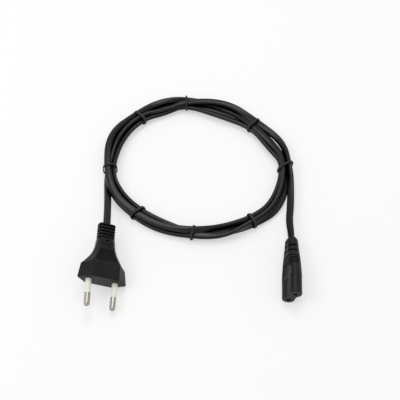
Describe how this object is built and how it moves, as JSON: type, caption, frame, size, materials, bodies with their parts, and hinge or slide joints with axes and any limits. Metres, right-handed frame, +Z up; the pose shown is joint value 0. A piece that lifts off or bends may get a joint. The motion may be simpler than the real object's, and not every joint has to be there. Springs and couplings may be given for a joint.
{
  "type": "power cord",
  "caption": "Flat two-pin mains plug and a figure-eight appliance connector on a flat two-core cord, coiled in a loose ring and held by soft flat bands.",
  "frame": {"origin": "on the floor, below the centre of the box round the plug and the connector", "axes": "+Z up from the floor the lead lies on, +X from the plug to the connector, the plug's pins and the connector's nose point roughly along -Y and the coil lies at +Y"},
  "size_m": [0.1527, 0.1895, 0.0215],
  "materials": {
    "moulded_pvc": "satin black moulded PVC",
    "cord_pvc": "satin black extruded PVC",
    "tie_rubber": "matt black",
    "pin_metal": "nickel plated, satin",
    "sleeve_plastic": "white, half gloss",
    "holder_plastic": "white moulded, plain",
    "contact_metal": "plain spring brass",
    "line_insulation": "brown",
    "neutral_insulation": "light blue",
    "copper": "bare stranded copper"
  },
  "bodies": {
    "root": {"plug_body": "moulded_pvc", "connector_body": "moulded_pvc", "cord_plug_tail": "cord_pvc", "cord_coil": "cord_pvc", "cord_connector_tail": "cord_pvc", "tie_1": "tie_rubber", "tie_2": "tie_rubber", "tie_3": "tie_rubber", "tie_4": "tie_rubber", "tie_5": "tie_rubber", "tie_6": "tie_rubber", "tie_7": "tie_rubber", "tie_8": "tie_rubber", "line_pin": "pin_metal", "neutral_pin": "pin_metal", "line_pin_sleeve": "sleeve_plastic", "neutral_pin_sleeve": "sleeve_plastic", "plug_pin_holder": "holder_plastic", "connector_insert": "holder_plastic", "line_contact": "contact_metal", "neutral_contact": "contact_metal", "plug_line_core": "line_insulation", "plug_neutral_core": "neutral_insulation", "plug_line_wire": "copper", "plug_neutral_wire": "copper", "connector_line_core": "line_insulation", "connector_neutral_core": "neutral_insulation", "connector_line_wire": "copper", "connector_neutral_wire": "copper"}
  },
  "joints": []
}
